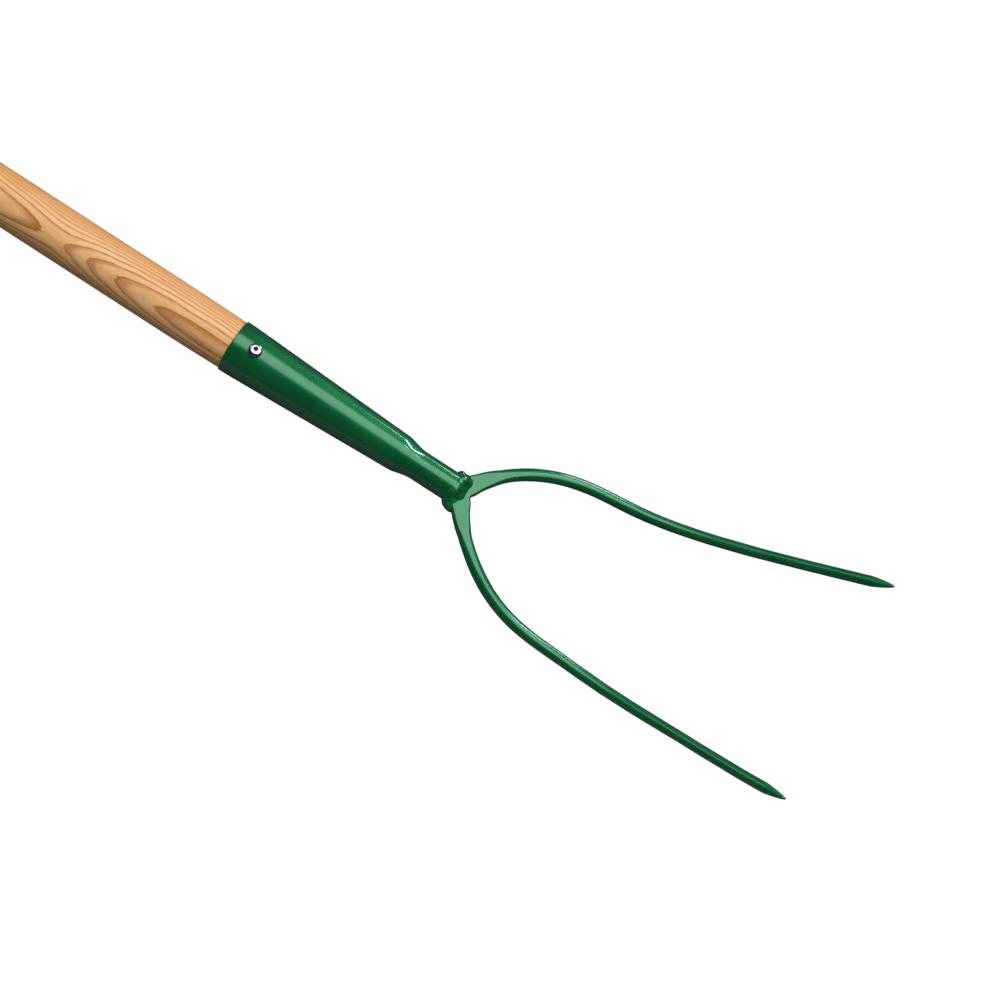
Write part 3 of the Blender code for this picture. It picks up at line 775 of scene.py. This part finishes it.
def green_enamel(name="green_enamel_gloss", lumpy=0.0):
    """Glossy green enamel with slight orange peel, uneven depth, and sharp edges painted lighter green: a
    painted edge highlight, partly also thinner paint.
    """
    g = Graph(name)
    cloud = g.noise(g.place, scale=38.0, detail=3.0)
    peel = g.noise(g.place, scale=620.0, detail=2.0)
    wave = g.noise(g.place, scale=140.0, detail=1.0)
    colour = g.mix(g.ramp(cloud, 0.35, 0.65), (0.0022, 0.062, 0.018, 1.0), (0.0032, 0.073, 0.022, 1.0))
    # Painted highlight: sharp edges are painted a lighter green, standing in for the light they catch, partly
    # also for thinner paint.
    edge = g.ramp(g.node("NewGeometry").outputs["Pointiness"], 0.53, 0.60, 0.0, 0.30)
    colour = g.mix(edge, colour, (0.020, 0.190, 0.080, 1.0))
    g.plug(g.shader.inputs["Base Color"], colour)
    g.plug(g.shader.inputs["Roughness"], g.ramp(cloud, 0.3, 0.7, 0.35, 0.43))
    g.shader.inputs["Specular IOR Level"].default_value = 1.0
    g.shader.inputs["Specular Tint"].default_value = (0.05, 1.0, 0.45, 1.0)
    g.shader.inputs["Coat Weight"].default_value = 1.0
    g.shader.inputs["Coat Roughness"].default_value = 0.05
    surface = g.bump(wave, 0.10 + lumpy, 0.00006)
    surface = g.bump(peel, 0.03 + lumpy, 0.00001, under=surface)
    g.plug(g.shader.inputs["Normal"], surface)
    g.plug(g.shader.inputs["Coat Normal"], surface)
    return g.material


def bright_steel():
    """Bright plated steel with turning marks, faint stains and painted shade deep in the cross recess."""
    g = Graph("bright_plated_steel")
    split = g.node("SeparateXYZ")
    g.plug(split.inputs[0], g.place)
    x, y, z = split.outputs
    y = g.math("SUBTRACT", y, RECESS_OFFSET)
    radius = g.math("SQRT", g.math("ADD", g.math("MULTIPLY", x, x), g.math("MULTIPLY", y, y)))
    marks = g.noise(g.vector(g.math("MULTIPLY", radius, 9000.0), 0.0, 0.0), detail=2.0)
    stain = g.noise(g.place, scale=700.0, detail=3.0)
    colour = g.mix(g.ramp(stain, 0.4, 0.75), (0.52, 0.51, 0.50, 1.0), (0.25, 0.24, 0.23, 1.0))
    top = socket_radius(SCREW_X) + HEAD_HEIGHT
    # Painted shade: deep inside the cross recess the steel is painted nearly black, for the shade that falls
    # there.
    recess_shade = g.math("MULTIPLY", g.ramp(z, top - 0.00015, top - 0.00060), g.ramp(radius, 0.0031, 0.0026))
    colour = g.mix(recess_shade, colour, (0.035, 0.033, 0.030, 1.0))
    g.plug(g.shader.inputs["Base Color"], colour)
    g.plug(g.shader.inputs["Roughness"], g.ramp(stain, 0.3, 0.8, 0.12, 0.26))
    g.shader.inputs["Metallic"].default_value = 1.0
    g.plug(g.shader.inputs["Normal"], g.bump(marks, 0.12, 0.00003))
    return g.material


# Studio.

def pale_floor():
    """White floor: bright to the camera and dark grey to other rays, so that the gloss keeps its contrast."""
    g = Graph("studio_floor")
    split = g.node("SeparateXYZ")
    g.plug(split.inputs[0], g.place)
    bounce = g.ramp(split.outputs[1], 0.05, -0.15, 0.0, 1.0)
    g.plug(g.shader.inputs["Base Color"], g.mix(bounce, (0.03, 0.03, 0.03, 1.0), (0.16, 0.16, 0.16, 1.0)))
    g.shader.inputs["Roughness"].default_value = 0.9
    g.shader.inputs["Specular IOR Level"].default_value = 0.0
    glow = g.node("Emission")
    glow.inputs["Color"].default_value = (1.0, 1.0, 1.0, 1.0)
    glow.inputs["Strength"].default_value = 0.985
    blend = g.node("AddShader")
    g.tree.links.new(glow.outputs[0], blend.inputs[0])
    g.tree.links.new(g.shader.outputs[0], blend.inputs[1])
    choose = g.node("MixShader")
    g.tree.links.new(g.node("LightPath").outputs["Is Camera Ray"], choose.inputs[0])
    g.tree.links.new(g.shader.outputs[0], choose.inputs[1])
    g.tree.links.new(blend.outputs[0], choose.inputs[2])
    g.tree.links.new(choose.outputs[0], g.tree.nodes["Material Output"].inputs[0])
    return g.material


def make_floor():
    """Plain floor that the tool lies on."""
    mesh = bpy.data.meshes.new("floor")
    corners = [(x * FLOOR_HALF, y * FLOOR_HALF, 0.0) for x, y in ((-1, -1), (1, -1), (1, 1), (-1, 1))]
    mesh.from_pydata(corners, [], [(0, 1, 2, 3)])
    floor = new_piece("studio_floor", mesh, pale_floor(), (0.0, 0.0, FLOOR_HEIGHT))


def make_light(name, place, along, size, power, feather, diffuse, glossy):
    """Rectangular soft light that faces the tool and fades towards its edges over a share of its width."""
    light = bpy.data.lights.new(name, "AREA")
    light.shape = "RECTANGLE"
    light.size, light.size_y = size
    light.energy = power
    light.use_nodes = True
    tree = light.node_tree
    split = tree.nodes.new("ShaderNodeSeparateXYZ")
    tree.links.new(tree.nodes.new("ShaderNodeNewGeometry").outputs["Parametric"], split.inputs[0])
    strength = None
    for across in split.outputs[:2]:
        for low, high in ((0.0, feather), (1.0, 1.0 - feather)):
            edge = tree.nodes.new("ShaderNodeMapRange")
            edge.interpolation_type = "SMOOTHSTEP"
            edge.inputs["From Min"].default_value = low
            edge.inputs["From Max"].default_value = high
            tree.links.new(across, edge.inputs["Value"])
            product = tree.nodes.new("ShaderNodeMath")
            product.operation = "MULTIPLY"
            product.inputs[0].default_value = 1.0
            if strength:
                tree.links.new(strength, product.inputs[0])
            tree.links.new(edge.outputs[0], product.inputs[1])
            strength = product.outputs[0]
    tree.links.new(strength, tree.nodes["Emission"].inputs["Strength"])
    lamp = new_object(name, light)
    outward = Vector(place).normalized()
    side = Vector(along) - outward * outward.dot(Vector(along))
    side.normalize()
    lamp.matrix_world = Matrix.Translation(ORIGIN + Vector(place)) @ Matrix(
        (side, outward.cross(side), outward)).transposed().to_4x4()
    lamp.visible_diffuse = diffuse
    lamp.visible_glossy = glossy


def make_world():
    """Pale surroundings to the camera, dim ones in reflections and as fill."""
    world = bpy.data.worlds.new("studio")
    world.use_nodes = True
    tree = world.node_tree
    dim = tree.nodes["Background"]
    dim.inputs["Color"].default_value = (0.95, 0.98, 1.0, 1.0)
    dim.inputs["Strength"].default_value = 0.05
    darker = tree.nodes.new("ShaderNodeBackground")
    darker.inputs["Strength"].default_value = 0.02
    pale = tree.nodes.new("ShaderNodeBackground")
    pale.inputs["Color"].default_value = (1.0, 1.0, 1.0, 1.0)
    path = tree.nodes.new("ShaderNodeLightPath")
    shown = dim
    for ray, background in (("Is Glossy Ray", darker), ("Is Camera Ray", pale)):
        choose = tree.nodes.new("ShaderNodeMixShader")
        tree.links.new(path.outputs[ray], choose.inputs[0])
        tree.links.new(shown.outputs[0], choose.inputs[1])
        tree.links.new(background.outputs[0], choose.inputs[2])
        shown = choose
    tree.links.new(shown.outputs[0], tree.nodes["World Output"].inputs[0])
    bpy.context.scene.world = world


def make_studio():
    """Floor, surroundings and soft lights."""
    make_floor()
    make_world()
    for light in LIGHTS:
        make_light(*light)
    bpy.context.scene.view_settings.view_transform = "Standard"


def make_camera():
    """Camera that looks down on the head of the tool."""
    data = bpy.data.cameras.new("camera")
    data.sensor_width = SENSOR
    data.lens = FOCAL_LENGTH
    data.clip_end = 100.0
    camera = new_object("camera", data)
    backward = VIEW_TURN.to_matrix() @ Vector((0.0, 0.0, 1.0))
    camera.location = ORIGIN + VIEW_TARGET + backward * VIEW_DISTANCE
    camera.rotation_euler = VIEW_TURN
    bpy.context.scene.camera = camera


def main():
    """Make every piece, dress it and put it in the studio."""
    noise.seed_set(NOISE_SEED)
    make_camera()
    wood = ash_wood()
    enamel = green_enamel()
    weld_enamel = green_enamel("green_enamel_weld", lumpy=0.08)
    steel = bright_steel()
    front_lumps = FRONT_LUMPS + SIDE_LUMPS
    pieces = (
        (make_handle(wood), "handle", "ash_wood"),
        (make_socket(enamel), "socket", "green_enamel"),
        (make_tine_fork(enamel), "tine_fork", "green_enamel"),
        (make_weld("weld_bead_front", front_lumps, weld_enamel), "neck_weld_front", "green_enamel"),
        (make_weld("weld_bead_back", BACK_LUMPS, weld_enamel), "neck_weld_back", "green_enamel"),
        (make_screw(steel), "handle_screw", "bright_steel"),
    )
    for piece, node, slot in pieces:
        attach(piece, "root")
        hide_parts(node)
    make_studio()


main()
